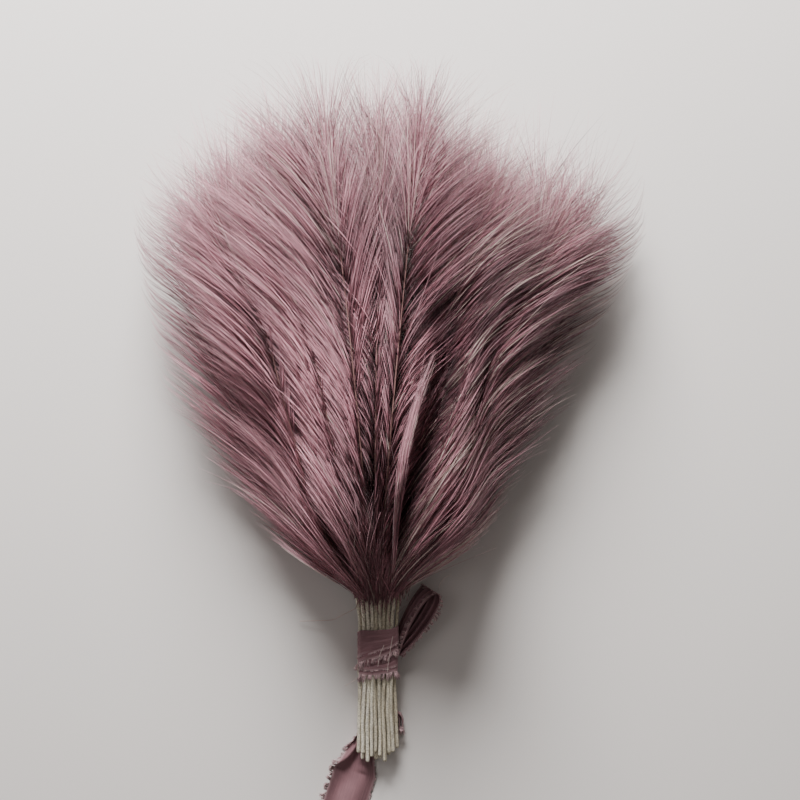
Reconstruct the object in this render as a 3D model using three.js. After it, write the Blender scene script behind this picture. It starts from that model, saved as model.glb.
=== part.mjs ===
// A tied bunch of dried pampas grass, lying on a table with its plumes fanned out.
// Millimetres, +Z up, +Y from the cut ends towards the tips of the plumes, +X to the right.
// The bunch is laid out from the middle of its tie, and is then moved so that the origin is
// the centre of the bottom of its box.
import * as THREE from "three";

// --- Driving dimensions -------------------------------------------------------------------

// The stalks lie in layers, from the one on the table up to the top one.
const STALKS_IN_LAYER = [8, 10, 8];
const STEM_DIAMETER = 2.3;
const STEM_GAP = 0.25; // between two stems inside the tie
const CUT_LENGTH = 72; // from the middle of the tie to the cut ends
const BARE_LENGTH = 37; // from the middle of the tie to the first hairs
const CUT_RAGGEDNESS = 3; // the cut ends stop up to this much short of, or past, CUT_LENGTH
const CUT_FLARE = 1.12; // how much wider the stems stand at the cut ends than in the tie
const HAIR_FLARE = 1.2; // how much wider they stand where the hairs start
const STEM_SLOPE = 0.08; // rise of the stems towards the plumes, per length

// The plumes fan out from the ends of the stems.
const PLUME_LENGTH = 335; // of the longest one, in the middle of the fan
const SIDE_PLUME_LENGTH = 262; // of one at the very edge of the fan
const SHORTER_PLUMES = 0.1; // share by which the shortest stays behind its neighbours
const FAN_HALF_WIDTH = 160;
const FAN_OPENING = 2.8; // how early the fan opens: the higher, the nearer to the tie
const FAN_LEAN = 10; // sideways drift of the tips to the right
const PILE_HEIGHT = 88; // the three layers together, at the fullest place
const PILE_HEIGHT_AT_TIPS = 0.72; // share of it that is left at the tips
const PLUME_GAP = 0.6; // between two plumes
const TOUCH_GAP = 0.6; // between a stem and its plume

// The ribbon is one torn strip: wound twice round the stems, knotted below them, with one
// bow loop on the right, one long tail and one short one.
const RIBBON_WIDTH = 30;
const BAND_THICKNESS = 0.9; // two turns of gathered silk
const BAND_CLEARANCE = 0.4; // between the band and the stems
const RIBBON_GAP = 0.3; // between two pieces of the ribbon
const KNOT_SIZE = new THREE.Vector3(15, 13, 6.5);
const KNOT_OFFSET = 5; // the knot sits this far right of the middle
const LOOP_LENGTH = 44;
const LOOP_WIDTH = 17;
const LOOP_HEIGHT = 10;
const LOOP_WALL = 1;
const LOOP_TURN = 62; // degrees between the loop and the X axis
const LOOP_START = [17, 2]; // where the loop leaves the knot
const TAIL_THICKNESS = 0.8;
const TAIL_SLANT = 6;
// The middle lines of the two tails: the long one on the table from below the knot to its torn
// end, the short one folded narrow on top of it.
const LONG_TAIL_ROUTE = [
  [2, 4],
  [-1, -25],
  [-5, -50],
  [-12, -68],
  [-21, -95],
  [-31, -130],
  [-38, -165],
];
const SHORT_TAIL_ROUTE = [
  [7, -8],
  [8, -26],
  [7, -45],
];
const SHORT_TAIL_WIDTH = 20;

// --- Values that follow from them ---------------------------------------------------------

const LAYERS = STALKS_IN_LAYER.length;
const WIDEST_LAYER = Math.max(...STALKS_IN_LAYER);
const STEM_PITCH = STEM_DIAMETER + STEM_GAP;
const TIE_HALF_WIDTH = (WIDEST_LAYER * STEM_PITCH) / 2; // half of the row of stems in the tie
const TIE_PILE = LAYERS * STEM_PITCH;
const BAND_INNER = new THREE.Vector2(
  TIE_HALF_WIDTH - STEM_GAP / 2 + BAND_CLEARANCE,
  (TIE_PILE - STEM_GAP) / 2 + BAND_CLEARANCE,
);
const HALF_BAND = RIBBON_WIDTH / 2;
// Seen along the stems, the tail lies on the table, then come the knot, the band and the stems.
const TAIL_LAYER = TAIL_THICKNESS + RIBBON_GAP;
const KNOT_HEIGHT = TAIL_LAYER + KNOT_SIZE.z / 2;
const TIE_HEIGHT =
  KNOT_HEIGHT +
  KNOT_SIZE.z / 2 +
  RIBBON_GAP +
  HALF_BAND * STEM_SLOPE +
  BAND_THICKNESS +
  BAND_INNER.y;
const FAN_BASE_HALF_WIDTH = TIE_HALF_WIDTH * HAIR_FLARE;
const FAN_BASE_PILE = TIE_PILE * HAIR_FLARE;
const FAN_BASE_BOTTOM = TIE_HEIGHT + STEM_SLOPE * BARE_LENGTH - FAN_BASE_PILE / 2;

const COLOURS = {
  stem: 0xc9c3ae,
  plume: 0xa0808a,
  ribbon: 0x8a5f6c,
};

// --- Helpers ------------------------------------------------------------------------------

const smooth = (from, to, value) => THREE.MathUtils.smoothstep(value, from, to);

// A steady number from 0 to 1 for each whole number, for the small differences between stalks.
const scatter = (n) => {
  const wave = Math.sin(n * 12.9898 + 4.1414) * 43758.5453;
  return wave - Math.floor(wave);
};

const piece = (name, geometry, colour, roughness) => {
  const material = new THREE.MeshStandardMaterial({ color: colour, roughness, metalness: 0 });
  const mesh = new THREE.Mesh(geometry, material);
  mesh.name = name;
  return mesh;
};

// Every stalk: its layer, its share of the fan's half width (-1 left to 1 right) and its number.
const stalks = STALKS_IN_LAYER.flatMap((count, layer) =>
  Array.from({ length: count }, (_, i) => ({
    layer,
    share: (i - (count - 1) / 2) * (2 / WIDEST_LAYER),
  })),
).map((stalk, i) => ({ ...stalk, number: i + 1, luck: scatter(i + 1) }));

const label = (kind, stalk) => `${kind}_${String(stalk.number).padStart(2, "0")}`;

// --- Stems --------------------------------------------------------------------------------

// How much wider than in the tie the stems stand at a place along them.
const flareAt = (y) => {
  if (y > HALF_BAND) {
    return 1 + (HAIR_FLARE - 1) * smooth(HALF_BAND, BARE_LENGTH, y);
  }
  return 1 + (CUT_FLARE - 1) * smooth(HALF_BAND, CUT_LENGTH, -y);
};

const stemPoint = (stalk, y) => {
  const flare = flareAt(y);
  const rise = (stalk.layer - (LAYERS - 1) / 2) * STEM_PITCH * flare;
  return new THREE.Vector3(
    stalk.share * TIE_HALF_WIDTH * flare,
    y,
    TIE_HEIGHT + STEM_SLOPE * y + rise,
  );
};

const stem = (stalk) => {
  const cut = -CUT_LENGTH + CUT_RAGGEDNESS * (2 * stalk.luck - 1);
  const places = [cut, (cut - HALF_BAND) / 2, -HALF_BAND, HALF_BAND, BARE_LENGTH];
  const line = new THREE.CatmullRomCurve3(places.map((y) => stemPoint(stalk, y)));
  const section = new THREE.Shape(
    Array.from({ length: 8 }, (_, i) => {
      const turn = (i * Math.PI) / 4;
      return new THREE.Vector2(Math.cos(turn), Math.sin(turn)).multiplyScalar(STEM_DIAMETER / 2);
    }),
  );
  const geometry = new THREE.ExtrudeGeometry(section, { extrudePath: line, steps: 6 });
  return piece(label("stem", stalk), geometry, COLOURS.stem, 0.9);
};

// --- Plumes -------------------------------------------------------------------------------

// The fan's half width, the table side of the pile and its height, at a share of the way out.
const fanHalfWidth = (out) => {
  const opened = (1 - Math.exp(-FAN_OPENING * out)) / (1 - Math.exp(-FAN_OPENING));
  return FAN_BASE_HALF_WIDTH + (FAN_HALF_WIDTH - FAN_BASE_HALF_WIDTH) * opened;
};
const pileBottom = (out) => FAN_BASE_BOTTOM * (1 - smooth(0.05, 0.25, out));
const pileHeight = (out) => {
  const full = smooth(-0.12, 0.5, out) - (1 - PILE_HEIGHT_AT_TIPS) * smooth(0.5, 1, out);
  const base = smooth(-0.12, 0.5, 0);
  return FAN_BASE_PILE + ((PILE_HEIGHT - FAN_BASE_PILE) * (full - base)) / (1 - base);
};

// A place in the fan: across from -1 to 1, out from 0 to 1, and a height above the pile's bottom.
const fanPoint = (across, out, height) => {
  const length = PLUME_LENGTH - (PLUME_LENGTH - SIDE_PLUME_LENGTH) * across * across;
  return new THREE.Vector3(
    across * fanHalfWidth(out) + FAN_LEAN * out * out,
    BARE_LENGTH + TOUCH_GAP + length * out,
    pileBottom(out) + height,
  );
};

const PLUME_STATIONS = 12; // shared by all plumes, so that neighbours bend alike
const PLUME_SIDES = 10;
const TIP_SHARE = 0.35; // the last part of a plume, which closes to its tip
const BOXINESS = 0.78; // 1 is an ellipse, less is squarer: the plumes press on each other
const LOWEST = Math.cos(Math.PI / PLUME_SIDES) ** BOXINESS;

const plume = (stalk) => {
  const reach = 1 - SHORTER_PLUMES * scatter(stalk.number + 50);
  const fullness = (out) => {
    const past = Math.max(0, (out / reach - 1 + TIP_SHARE) / TIP_SHARE);
    return Math.sqrt(Math.max(0, 1 - past * past));
  };
  const stations = Array.from({ length: PLUME_STATIONS }, (_, i) => i / PLUME_STATIONS);
  const inside = stations.filter((out) => out < reach - 0.02);
  const profile = [
    new THREE.Vector2(0, 0),
    ...inside.map((out) => new THREE.Vector2(fullness(out), out)),
    new THREE.Vector2(0, reach),
  ];
  const geometry = new THREE.LatheGeometry(profile, PLUME_SIDES, Math.PI / PLUME_SIDES);
  const boxy = (value) => Math.sign(value) * Math.abs(value) ** BOXINESS;
  const places = geometry.attributes.position;
  for (let i = 0; i < places.count; i++) {
    const out = places.getY(i);
    const size = fullness(out);
    const turnedX = size > 0 ? places.getX(i) / size : 0;
    const turnedZ = size > 0 ? places.getZ(i) / size : 0;
    const cellHeight = pileHeight(out) / LAYERS;
    const halfShare = 1 / WIDEST_LAYER - PLUME_GAP / 2 / fanHalfWidth(out);
    const halfHeight = ((cellHeight - PLUME_GAP) / 2) * size;
    const across = stalk.share + halfShare * size * boxy(turnedX);
    const above = stalk.layer * cellHeight + halfHeight * (1 + boxy(turnedZ) / LOWEST);
    const place = fanPoint(across, out, above);
    places.setXYZ(i, place.x, place.y, place.z);
  }
  return piece(label("plume", stalk), geometry, COLOURS.plume, 0.95);
};

// --- Ribbon -------------------------------------------------------------------------------

// A rounded box round the stems, as a closed outline.
const bandOutline = (Kind, half) => {
  const outline = new Kind();
  const round = half.y;
  outline.moveTo(-half.x + round, -half.y);
  outline.lineTo(half.x - round, -half.y);
  outline.absarc(half.x - round, 0, round, -Math.PI / 2, Math.PI / 2);
  outline.lineTo(-half.x + round, half.y);
  outline.absarc(-half.x + round, 0, round, Math.PI / 2, (3 * Math.PI) / 2);
  return outline;
};

const ribbonBand = () => {
  const outer = BAND_INNER.clone().addScalar(BAND_THICKNESS);
  const section = bandOutline(THREE.Shape, outer);
  section.holes.push(bandOutline(THREE.Path, BAND_INNER));
  const geometry = new THREE.ExtrudeGeometry(section, {
    depth: RIBBON_WIDTH,
    bevelEnabled: false,
    curveSegments: 8,
  });
  geometry.translate(0, 0, -HALF_BAND);
  geometry.rotateX(Math.PI / 2 + Math.atan(STEM_SLOPE));
  const band = piece("ribbon_band", geometry, COLOURS.ribbon, 0.6);
  band.position.z = TIE_HEIGHT;
  return band;
};

const ribbonKnot = () => {
  const geometry = new THREE.SphereGeometry(0.5, 14, 10);
  geometry.scale(KNOT_SIZE.x, KNOT_SIZE.y, KNOT_SIZE.z);
  const knot = piece("ribbon_knot", geometry, COLOURS.ribbon, 0.6);
  knot.position.set(KNOT_OFFSET, 0, KNOT_HEIGHT);
  return knot;
};

// The outline of a strip of even width along a middle line, with its far end cut at a slant.
const stripOutline = (line, width, slant) => {
  const samples = 18;
  const edge = (side) =>
    Array.from({ length: samples + 1 }, (_, i) => {
      const along = line.getTangent(i / samples);
      const sideways = new THREE.Vector2(-along.y, along.x).multiplyScalar((side * width) / 2);
      return line
        .getPoint(i / samples)
        .add(sideways)
        .addScaledVector(along, (side * slant * i) / samples);
    });
  return new THREE.Shape([...edge(1), ...edge(-1).reverse()]);
};

// A bow loop that stands on its edge, with both its ends at the knot.
const ribbonLoop = () => {
  const half = [
    [0, 0.08],
    [0.3, 0.32],
    [0.7, 0.5],
    [0.94, 0.32],
  ].map(([out, aside]) => new THREE.Vector2(out * LOOP_LENGTH, aside * LOOP_WIDTH));
  const back = half.map((point) => new THREE.Vector2(point.x, -point.y)).reverse();
  const line = new THREE.SplineCurve([...half, new THREE.Vector2(LOOP_LENGTH, 0), ...back]);
  const geometry = new THREE.ExtrudeGeometry(stripOutline(line, LOOP_WALL, 0), {
    depth: LOOP_HEIGHT,
    bevelEnabled: false,
  });
  const loop = piece("ribbon_loop", geometry, COLOURS.ribbon, 0.6);
  loop.rotation.z = THREE.MathUtils.degToRad(LOOP_TURN);
  loop.position.set(...LOOP_START, TAIL_LAYER);
  return loop;
};

// A tail lies flat, and its end is torn off at a slant.
const ribbonTail = (name, route, width, height) => {
  const line = new THREE.SplineCurve(route.map(([x, y]) => new THREE.Vector2(x, y)));
  const geometry = new THREE.ExtrudeGeometry(stripOutline(line, width, TAIL_SLANT), {
    depth: TAIL_THICKNESS,
    bevelEnabled: false,
  });
  const tail = piece(name, geometry, COLOURS.ribbon, 0.6);
  tail.position.z = height;
  return tail;
};

// --- The bunch ----------------------------------------------------------------------------

const bunch = new THREE.Group();
bunch.add(...stalks.map(stem));
bunch.add(...stalks.map(plume));
bunch.add(ribbonBand(), ribbonKnot(), ribbonLoop());
bunch.add(ribbonTail("ribbon_tail_long", LONG_TAIL_ROUTE, RIBBON_WIDTH, 0));
bunch.add(ribbonTail("ribbon_tail_short", SHORT_TAIL_ROUTE, SHORT_TAIL_WIDTH, TAIL_LAYER));

const box = new THREE.Box3().setFromObject(bunch, true);
const middle = box.getCenter(new THREE.Vector3());
bunch.position.set(-middle.x, -middle.y, -box.min.z);

export default bunch;
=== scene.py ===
import math
from collections import namedtuple

import bpy
import numpy as np
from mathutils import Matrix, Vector


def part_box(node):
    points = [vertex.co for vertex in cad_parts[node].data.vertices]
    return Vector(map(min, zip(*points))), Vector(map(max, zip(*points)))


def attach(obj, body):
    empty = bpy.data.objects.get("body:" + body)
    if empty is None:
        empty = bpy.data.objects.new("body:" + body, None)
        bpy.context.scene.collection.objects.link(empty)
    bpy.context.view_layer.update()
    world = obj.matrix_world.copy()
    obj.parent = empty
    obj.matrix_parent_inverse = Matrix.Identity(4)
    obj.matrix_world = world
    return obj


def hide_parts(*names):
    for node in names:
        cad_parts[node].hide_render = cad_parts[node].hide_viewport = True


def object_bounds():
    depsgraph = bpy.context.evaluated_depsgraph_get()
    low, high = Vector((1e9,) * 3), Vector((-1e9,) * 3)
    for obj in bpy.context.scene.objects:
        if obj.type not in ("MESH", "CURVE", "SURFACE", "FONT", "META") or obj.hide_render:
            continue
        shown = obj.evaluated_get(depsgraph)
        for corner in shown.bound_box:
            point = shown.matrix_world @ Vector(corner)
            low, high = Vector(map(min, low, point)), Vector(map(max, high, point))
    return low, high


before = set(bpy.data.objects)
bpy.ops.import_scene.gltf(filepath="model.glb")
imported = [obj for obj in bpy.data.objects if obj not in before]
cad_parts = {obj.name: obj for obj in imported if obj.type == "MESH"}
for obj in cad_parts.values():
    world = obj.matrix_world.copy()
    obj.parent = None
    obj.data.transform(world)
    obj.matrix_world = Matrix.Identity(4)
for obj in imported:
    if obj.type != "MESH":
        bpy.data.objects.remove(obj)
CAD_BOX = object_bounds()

bl_info = {
    "name": "Pampas Grass Bunch",
    "version": (1, 0, 0),
    "blender": (4, 5, 0),
    "location": "View3D > Sidebar > Pampas",
    "description": "Builds a ribbon-tied bunch of dried pampas grass round its packed frame",
    "category": "Object",
}

MM = 0.001
FIBRE_MAP = "OFBake"
FIBRE_KINDS = 64  # columns of the fibre map: each holds one shade of fibre, from root to tip; the shades are the fibres' own tone with painted light and shade in them
PALE = 60  # the first column of the pale shades, which mix in a painted highlight colour


# --- Settings -----------------------------------------------------------------------------


def length_setting(name, description, millimetres):
    return bpy.props.FloatProperty(
        name=name,
        description=description,
        default=millimetres * MM,
        min=0.0,
        precision=5,
        subtype="DISTANCE",
        unit="LENGTH",
    )


def colour_setting(name, description, rgb):
    return bpy.props.FloatVectorProperty(
        name=name, description=description, default=rgb, size=3, min=0, max=1, subtype="COLOR"
    )


class PAMPAS_PG_plumes(bpy.types.PropertyGroup):
    barbs: bpy.props.IntProperty(
        name="Barbs",
        description="Side branches on each plume's stalk",
        default=110,
        min=1,
    )
    fibres: bpy.props.IntProperty(
        name="Fibres",
        description="Fibres on each barb",
        default=9,
        min=1,
    )
    barb_length: length_setting("Barb length", "Length of the longest barbs", 92)
    fibre_radius: length_setting("Fibre radius", "Radius of a fibre near its root", 0.25)
    stray_share: bpy.props.FloatProperty(
        name="Stray share",
        description="Share of fibres that stand away from the others",
        default=0.04,
        subtype="FACTOR",
        min=0,
        max=1,
    )
    # the dark root colour is partly the fibre's own and partly painted shade for the gaps deep in
    # the pile
    root_colour_and_shade: colour_setting("Root colour", "Fibre colour at its root", (0.23, 0.08, 0.10))
    body_colour: colour_setting("Body colour", "Fibre colour half way", (0.45, 0.208, 0.258))
    tip_colour: colour_setting("Tip colour", "Fibre colour at its tip", (0.57, 0.315, 0.365))


class PAMPAS_PG_stems(bpy.types.PropertyGroup):
    roughness_height: length_setting("Unevenness", "How far a stem's skin stands in and out", 0.14)
    colour: colour_setting("Colour", "The bare stems", (0.84, 0.79, 0.67))
    rib_colour: colour_setting("Rib colour", "Furrows and scars on the stems", (0.46, 0.41, 0.32))


class PAMPAS_PG_ribbon(bpy.types.PropertyGroup):
    width: length_setting("Width", "Width of the torn silk", 30)
    thread_radius: length_setting("Thread radius", "Radius of a frayed thread", 0.13)
    colour: colour_setting("Colour", "The woven silk", (0.26, 0.135, 0.155))
    thread_colour: colour_setting("Thread colour", "The frayed threads", (0.62, 0.42, 0.45))


class PAMPAS_PG_stage(bpy.types.PropertyGroup):
    floor_colour: colour_setting("Floor", "The surface below the bunch", (0.81, 0.775, 0.765))
    view_width: length_setting("View width", "Width of the scene that the camera takes in", 520)


# --- Numbers ------------------------------------------------------------------------------


def unit(v):
    return v / np.maximum(np.linalg.norm(v, axis=-1, keepdims=True), 1e-12)


def smooth(low, high, x):
    t = np.clip((x - low) / (high - low), 0, 1)
    return t * t * (3 - 2 * t)


def node_points(name):
    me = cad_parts[name].data
    co = np.empty(len(me.vertices) * 3, np.float64)
    me.vertices.foreach_get("co", co)
    return co.reshape(-1, 3)


def centre_line(name, samples=12):
    """The middle line of a long CAD node, where it is cut at even steps along Y."""
    co = node_points(name)
    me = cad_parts[name].data
    edges = np.empty(len(me.edges) * 2, np.int32)
    me.edges.foreach_get("vertices", edges)
    a, b = co[edges[::2]], co[edges[1::2]]
    low, high = co[:, 1].min(), co[:, 1].max()
    margin = (high - low) * 0.004
    middle = []
    for at in np.linspace(low + margin, high - margin, samples):
        cut = (a[:, 1] - at) * (b[:, 1] - at) < 0
        share = ((at - a[cut, 1]) / (b[cut, 1] - a[cut, 1]))[:, None]
        found = a[cut] + (b[cut] - a[cut]) * share
        middle.append((found.min(0) + found.max(0)) / 2)
    return np.array(middle)


def along(points, t):
    """Points of a smooth line through points, at shares t of its length."""
    pts = np.asarray(points, float)
    gaps = np.linalg.norm(np.diff(pts, axis=0), axis=1)
    at = np.concatenate([[0], np.cumsum(gaps)]) / gaps.sum()
    fine = np.linspace(0, 1, 200)
    dense = np.stack([np.interp(fine, at, pts[:, k]) for k in range(pts.shape[1])], 1)
    kernel = np.hanning(31)
    kernel /= kernel.sum()
    ends = (2 * dense[0] - dense[15:0:-1], dense, 2 * dense[-1] - dense[-2:-17:-1])
    padded = np.concatenate(ends)
    soft = np.stack([np.convolve(padded[:, k], kernel, "valid") for k in range(pts.shape[1])], 1)
    t = np.clip(t, 0, 1)
    return np.stack([np.interp(t, fine, soft[:, k]) for k in range(pts.shape[1])], -1)


# --- Meshes -------------------------------------------------------------------------------


def new_piece(name, verts, faces_by_size, uvs_by_size, materials, indices_by_size):
    """Makes a mesh object from arrays: faces_by_size holds (count, corners) index arrays."""
    me = bpy.data.meshes.new(name)
    corners = sum(f.size for f in faces_by_size)
    count = sum(len(f) for f in faces_by_size)
    me.vertices.add(len(verts))
    me.vertices.foreach_set("co", np.ascontiguousarray(verts, np.float32).ravel())
    me.loops.add(corners)
    me.polygons.add(count)
    me.loops.foreach_set(
        "vertex_index", np.concatenate([f.ravel() for f in faces_by_size]).astype(np.int32)
    )
    sizes = np.concatenate([np.full(len(f), f.shape[1]) for f in faces_by_size])
    starts = np.concatenate([[0], np.cumsum(sizes)[:-1]])
    me.polygons.foreach_set("loop_start", starts.astype(np.int32))
    me.polygons.foreach_set(
        "material_index", np.concatenate(indices_by_size).astype(np.int32)
    )
    me.polygons.foreach_set("use_smooth", np.ones(count, bool))
    layer = me.uv_layers.new(name=FIBRE_MAP)
    uv = np.concatenate([u.reshape(-1, 2) for u in uvs_by_size])
    layer.uv.foreach_set("vector", uv.astype(np.float32).ravel())
    me.update(calc_edges=True)
    me.validate()
    for material in materials:
        me.materials.append(material)
    ob = bpy.data.objects.new(name, me)
    bpy.context.scene.collection.objects.link(ob)
    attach(ob, "root")
    return ob


def tubes(paths, radii, column, sides=3, material=0):
    """Closed tapering tubes along paths (count, rings, 3), each in its column of the map."""
    count, rings, _ = paths.shape
    tangent = unit(np.gradient(paths, axis=1))
    seed = np.array([0.31, 0.27, 0.91])
    n = unit(np.cross(tangent, seed))
    b = np.cross(tangent, n)
    turn = np.arange(sides) * (2 * math.pi / sides)
    ring = (
        n[:, :, None, :] * np.cos(turn)[None, None, :, None]
        + b[:, :, None, :] * np.sin(turn)[None, None, :, None]
    )
    verts = (paths[:, :, None, :] + ring * radii[:, :, None, None]).reshape(-1, 3)
    base = (np.arange(count) * rings * sides)[:, None, None]
    r = np.arange(rings - 1)[None, :, None] * sides
    s = np.arange(sides)[None, None, :]
    s2 = (s + 1) % sides
    quads = np.stack(
        [base + r + s, base + r + s2, base + r + sides + s2, base + r + sides + s], -1
    ).reshape(-1, 4)
    caps = np.stack(
        [
            (base[:, 0] + s[0, :, ::-1]),
            (base[:, 0] + (rings - 1) * sides + s[0]),
        ],
        1,
    ).reshape(-1, sides)
    left = (column % FIBRE_KINDS + 0.2) / FIBRE_KINDS
    right = (column % FIBRE_KINDS + 0.8) / FIBRE_KINDS
    v = np.linspace(0.01, 0.99, rings)
    low = np.broadcast_to(v[:-1][None, :, None], (count, rings - 1, sides))
    high = np.broadcast_to(v[1:][None, :, None], (count, rings - 1, sides))
    u0 = np.broadcast_to(left[:, None, None], low.shape)
    u1 = np.broadcast_to(right[:, None, None], low.shape)
    quad_uv = np.stack(
        [
            np.stack([u0, low], -1),
            np.stack([u1, low], -1),
            np.stack([u1, high], -1),
            np.stack([u0, high], -1),
        ],
        3,
    ).reshape(-1, 4, 2)
    spread = np.linspace(0, 1, sides)[None, None, :]
    cap_u = left[:, None, None] + (right - left)[:, None, None] * spread
    cap_v = np.array([0.0, 1.0])[None, :, None] + np.array([0.01, -0.01])[None, :, None] * (
        np.arange(sides) % 2
    )
    cap_uv = np.stack(
        [np.broadcast_to(cap_u, (count, 2, sides)), np.broadcast_to(cap_v, (count, 2, sides))], -1
    ).reshape(-1, sides, 2)
    return {
        "verts": verts,
        "faces": [quads, caps],
        "uvs": [quad_uv, cap_uv],
        "slots": [np.full(len(quads), material), np.full(len(caps), material)],
    }


def joined(name, parts, materials):
    """One mesh object from several of the arrays that tubes and cloth make."""
    verts, faces, uvs, slots = [], [], [], []
    offset = 0
    for part in parts:
        verts.append(part["verts"])
        faces += [f + offset for f in part["faces"]]
        uvs += part["uvs"]
        slots += part["slots"]
        offset += len(part["verts"])
    return new_piece(name, np.concatenate(verts), faces, uvs, materials, slots)


def cloth(grid, thickness):
    """A closed thin sheet from a grid of points (rows, columns, 3)."""
    rows, cols, _ = grid.shape
    du = np.gradient(grid, axis=0)
    dv = np.gradient(grid, axis=1)
    normal = unit(np.cross(dv, du))
    top = grid + normal * thickness / 2
    bottom = grid - normal * thickness / 2
    verts = np.concatenate([top.reshape(-1, 3), bottom.reshape(-1, 3)])
    index = np.arange(rows * cols).reshape(rows, cols)
    a, b = index[:-1, :-1], index[:-1, 1:]
    c, d = index[1:, 1:], index[1:, :-1]
    upper = np.stack([a, b, c, d], -1).reshape(-1, 4)
    lower = np.stack([a, d, c, b], -1).reshape(-1, 4) + rows * cols
    rim = np.concatenate(
        [index[0, :], index[1:, -1], index[-1, -2::-1], index[-2:0:-1, 0]]
    )
    after = np.roll(rim, -1)
    edge = np.stack([rim, rim + rows * cols, after + rows * cols, after], -1)
    v = np.linspace(0, 1, rows)[:, None] * np.ones(cols)
    u = np.ones(rows)[:, None] * np.linspace(0, 1, cols)
    place = np.stack([u, v], -1).reshape(-1, 2)
    place = np.concatenate([place, place])
    faces = np.concatenate([upper, lower, edge])
    return {
        "verts": verts,
        "faces": [faces],
        "uvs": [place[faces] * 0.96 + 0.02],
        "slots": [np.zeros(len(faces), int)],
    }


# --- Materials ----------------------------------------------------------------------------


class Nodes:
    """A material's node tree, with short ways to add and link nodes."""

    def __init__(self, name, roughness, sheen=0.0, specular=0.3):
        self.material = bpy.data.materials.new(name)
        self.material.use_nodes = True
        self.tree = self.material.node_tree
        self.tree.nodes.clear()
        self.output = self.tree.nodes.new("ShaderNodeOutputMaterial")
        self.shader = self.tree.nodes.new("ShaderNodeBsdfPrincipled")
        self.shader.inputs["Roughness"].default_value = roughness
        self.shader.inputs["Specular IOR Level"].default_value = specular
        self.shader.inputs["Sheen Weight"].default_value = sheen
        self.shader.inputs["Sheen Roughness"].default_value = 0.4
        self.link(self.shader.outputs[0], self.output.inputs["Surface"])

    def add(self, kind, **values):
        node = self.tree.nodes.new(kind)
        for key, value in values.items():
            if hasattr(node, key):
                setattr(node, key, value)
            else:
                node.inputs[key.replace("_", " ").title()].default_value = value
        return node

    def link(self, a, b):
        self.tree.links.new(a, b)

    def math(self, operation, a, b):
        node = self.add("ShaderNodeMath", operation=operation)
        for socket, value in zip(node.inputs, (a, b)):
            if isinstance(value, (int, float)):
                socket.default_value = value
            else:
                self.link(value, socket)
        return node.outputs[0]

    def ramp(self, factor, stops):
        node = self.add("ShaderNodeValToRGB")
        elements = node.color_ramp.elements
        while len(elements) < len(stops):
            elements.new(0.5)
        for element, (at, colour) in zip(elements, stops):
            element.position = at
            element.color = (*colour, 1) if len(colour) == 3 else colour
        self.link(factor, node.inputs[0])
        return node.outputs[0]

    def mix(self, blend, factor, a, b):
        node = self.add("ShaderNodeMix", data_type="RGBA", blend_type=blend)
        for socket, value in zip((node.inputs[0], node.inputs[6], node.inputs[7]), (factor, a, b)):
            if isinstance(value, (int, float)):
                socket.default_value = value
            elif isinstance(value, tuple):
                socket.default_value = (*value, 1)
            else:
                self.link(value, socket)
        return node.outputs[2]

    def noise(self, scale, detail=3, vector=None):
        node = self.add("ShaderNodeTexNoise", scale=scale, detail=detail)
        if vector is not None:
            self.link(vector, node.inputs["Vector"])
        return node.outputs[0]

    def bump(self, height, strength, distance):
        node = self.add("ShaderNodeBump", strength=strength, distance=distance)
        self.link(height, node.inputs["Height"])
        self.link(node.outputs[0], self.shader.inputs["Normal"])


def grey(value):
    return (value, value, value)


def fibre_material(name, root, body, tip, roughness, sheen):
    """Root-to-tip colour, times a shade that gets lighter from the first column to the last; the
    shades hold painted light and shade as well as the fibres' tone.
    """
    n = Nodes(name, roughness=roughness, sheen=sheen)
    place = n.add("ShaderNodeUVMap", uv_map=FIBRE_MAP)
    split = n.add("ShaderNodeSeparateXYZ")
    n.link(place.outputs[0], split.inputs[0])
    # root to tip: for the plume fibre the dark root is partly painted shade in the gaps between
    # hairs
    colour = n.ramp(split.outputs[1], [(0.0, root), (0.3, body), (1.0, tip)])
    # the shade of each column: the fibres' own tone, and painted light and shade where hairs are
    # given light or dark columns
    shade = n.ramp(
        split.outputs[0],
        [(0.0, grey(0.28)), (0.35, grey(0.75)), (0.7, grey(1.1)), (0.9, grey(1.4))],
    )
    colour = n.mix("MULTIPLY", 1.0, colour, shade)
    # the last columns mix towards a pale colour: a painted highlight, glints on glossy fibres
    pale = n.ramp(split.outputs[0], [(0.9, grey(0.0)), (0.93, grey(0.75))])
    colour = n.mix("MIX", pale, colour, (0.66, 0.58, 0.52))
    n.link(colour, n.shader.inputs["Base Color"])
    return n.material


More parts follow.
